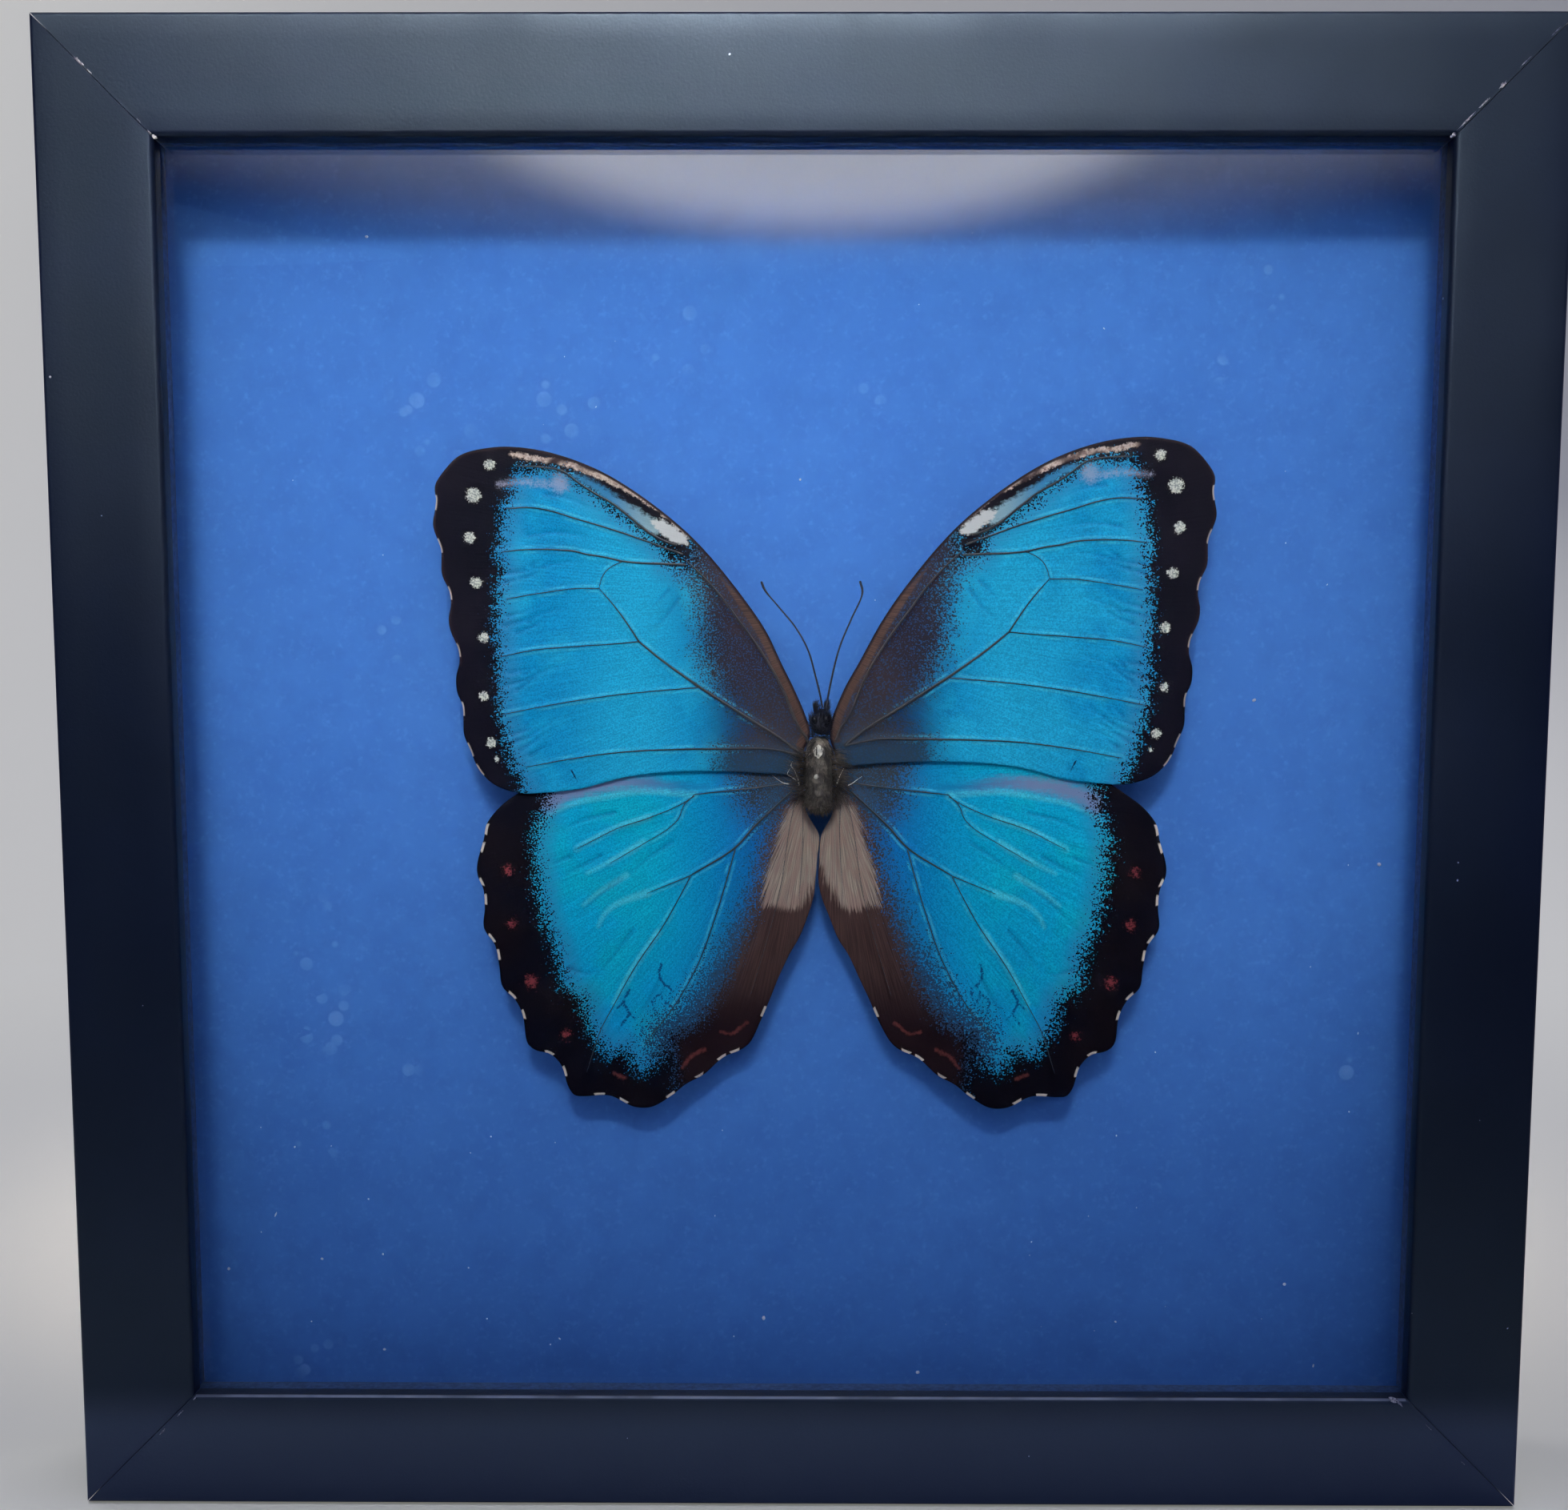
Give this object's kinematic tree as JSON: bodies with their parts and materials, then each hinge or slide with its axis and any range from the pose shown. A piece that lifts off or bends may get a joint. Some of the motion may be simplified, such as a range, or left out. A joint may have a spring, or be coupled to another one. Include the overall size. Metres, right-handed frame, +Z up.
{
  "type": "framed butterfly specimen",
  "caption": "Square black box frame standing on edge, with a blue butterfly set wings spread over blue paper behind glass.",
  "frame": {"origin": "middle of the bottom rail's underside, on the surface that the frame stands on", "axes": "+Z up along the frame's height, -Y out of the glass towards the viewer, +X to the viewer's right"},
  "size_m": [0.25, 0.035, 0.25],
  "materials": {
    "rail_foil": "fibreboard wrapped in satin black foil, worn pale at the mitres",
    "glass": "clear float glass",
    "spacer_board": "matte dark navy card",
    "blue_paper": "matte blue paper, finely mottled, with faint water spots",
    "hardboard": "plain brown hardboard",
    "steel": "thin zinc-plated sheet",
    "wing": "iridescent blue scales with a black border and pale spots",
    "body_hair": "dark grey-brown hair",
    "cork": "plain cork"
  },
  "bodies": {
    "root": {"rail_bottom": "rail_foil", "rail_left": "rail_foil", "rail_top": "rail_foil", "rail_right": "rail_foil", "glass_pane": "glass", "spacer_bottom": "spacer_board", "spacer_top": "spacer_board", "spacer_left": "spacer_board", "spacer_right": "spacer_board", "backing_paper": "blue_paper", "backing_board": "hardboard", "tab_bottom_1": "steel", "tab_bottom_2": "steel", "tab_left_1": "steel", "tab_left_2": "steel", "tab_top_1": "steel", "tab_top_2": "steel", "tab_right_1": "steel", "tab_right_2": "steel", "hanger": "steel", "hanger_rivet_1": "steel", "hanger_rivet_2": "steel", "forewing_left": "wing", "forewing_right": "wing", "hindwing_left": "wing", "hindwing_right": "wing", "thorax": "body_hair", "head": "body_hair", "palp_left": "body_hair", "palp_right": "body_hair", "antenna_left": "body_hair", "antenna_right": "body_hair", "mounting_post": "cork"}
  },
  "joints": []
}
